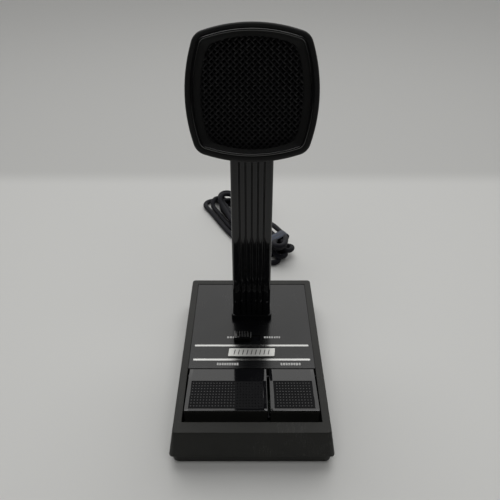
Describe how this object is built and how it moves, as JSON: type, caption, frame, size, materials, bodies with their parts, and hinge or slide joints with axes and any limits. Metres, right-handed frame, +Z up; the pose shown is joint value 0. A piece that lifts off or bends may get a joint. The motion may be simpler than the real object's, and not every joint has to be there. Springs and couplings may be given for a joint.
{
  "type": "desk microphone",
  "caption": "Desk microphone: tilted square head with a mesh grille on a grooved column, and a weighted base with press bars, a lock slider and a folded cord with its plug.",
  "frame": {"origin": "on the table, under the middle of the base's outline (cord left out)", "axes": "+Z up along the column, front of the microphone faces -Y, +X to the right seen from the front"},
  "size_m": [0.1144, 0.3636, 0.2504],
  "materials": {
    "shell": "fine satin moulded plastic, warm charcoal",
    "panel": "semi-gloss dark grey label plate",
    "silver_trim": "satin silver foil on a thin plate",
    "bar": "semi-gloss dark grey moulded plastic",
    "column": "polished black",
    "head_plastic": "satin black moulded plastic",
    "grille_mesh": "black woven mesh",
    "foam": "open-cell foam",
    "steel": "plain zinc-plated steel",
    "screw_metal": "blackened steel",
    "rubber": "matt black rubber",
    "inner_plastic": "plain black moulding",
    "board": "green laminate",
    "cord_sheath": "smooth black flexible sheath",
    "tie_fabric": "blue woven strap",
    "plug_metal": "nickel-plated"
  },
  "bodies": {
    "base": {"badge_plate": "silver_trim", "ballast_weight": "steel", "bar_axle": "steel", "base_screw_front_left": "screw_metal", "base_screw_front_right": "screw_metal", "base_screw_rear_left": "screw_metal", "base_screw_rear_right": "screw_metal", "base_shell": "shell", "bezel_screw_1": "screw_metal", "bezel_screw_2": "screw_metal", "bezel_screw_3": "screw_metal", "bezel_screw_4": "screw_metal", "board_capacitor": "inner_plastic", "board_connector": "inner_plastic", "board_screw_1": "screw_metal", "board_screw_2": "screw_metal", "bottom_tray": "shell", "bracket_screw_left": "screw_metal", "bracket_screw_right": "screw_metal", "capsule": "steel", "capsule_baffle": "inner_plastic", "capsule_ring": "rubber", "circuit_board": "board", "cord_hank": "cord_sheath", "cord_inside": "cord_sheath", "cord_lead": "cord_sheath", "cord_tail": "cord_sheath", "cord_tie": "tie_fabric", "foam_pad": "foam", "foot_front_left": "rubber", "foot_front_right": "rubber", "foot_rear_left": "rubber", "foot_rear_right": "rubber", "grille": "grille_mesh", "head_bezel": "head_plastic", "head_bracket": "steel", "head_lead": "cord_sheath", "head_rear_shell": "head_plastic", "head_screw_left": "screw_metal", "head_screw_right": "screw_metal", "lock_switch": "inner_plastic", "monitor_spring": "steel", "monitor_switch": "inner_plastic", "plug_body": "plug_metal", "plug_insert": "inner_plastic", "stem_bracket": "steel", "stem_collar": "column", "stem_column": "column", "stem_screw_left": "screw_metal", "stem_screw_right": "screw_metal", "strain_relief": "rubber", "top_panel": "panel", "transmit_spring": "steel", "transmit_switch": "inner_plastic"},
    "transmit_bar": {"transmit_bar": "bar"},
    "monitor_bar": {"monitor_bar": "bar"},
    "transmit_plunger": {"transmit_plunger": "steel"},
    "monitor_plunger": {"monitor_plunger": "steel"},
    "lock_slider": {"lock_slider": "head_plastic"},
    "plug_ring": {"plug_ring": "plug_metal"}
  },
  "joints": [
    {"name": "transmit_bar_press", "type": "hinge", "parent": "base", "child": "transmit_bar", "pos_m": [0, -0.027, 0.0218], "axis": [1, 0, 0], "range_deg": [0, 6], "stiffness_Nm_per_rad": 0.4, "springref_deg": -5.73, "deforming": ["transmit_spring"]},
    {"name": "monitor_bar_press", "type": "hinge", "parent": "base", "child": "monitor_bar", "pos_m": [0, -0.027, 0.0218], "axis": [1, 0, 0], "range_deg": [0, 6], "stiffness_Nm_per_rad": 0.4, "springref_deg": -5.73, "deforming": ["monitor_spring"]},
    {"name": "transmit_plunger_travel", "type": "slide", "parent": "base", "child": "transmit_plunger", "axis": [0, 0, -1], "range_m": [0, 0.002]},
    {"name": "monitor_plunger_travel", "type": "slide", "parent": "base", "child": "monitor_plunger", "axis": [0, 0, -1], "range_m": [0, 0.002]},
    {"name": "lock_slide", "type": "slide", "parent": "base", "child": "lock_slider", "axis": [1, 0, 0], "range_m": [0, 0.008]},
    {"name": "plug_ring_turn", "type": "hinge", "parent": "base", "child": "plug_ring", "pos_m": [0.013, 0.24, 0.009], "axis": [-0.0698, 0.9976, 0], "continuous": true}
  ],
  "couplings": [
    {"joint": "transmit_plunger_travel", "follows": "transmit_bar_press", "m_per_rad": 0.015},
    {"joint": "monitor_plunger_travel", "follows": "monitor_bar_press", "m_per_rad": 0.015}
  ]
}
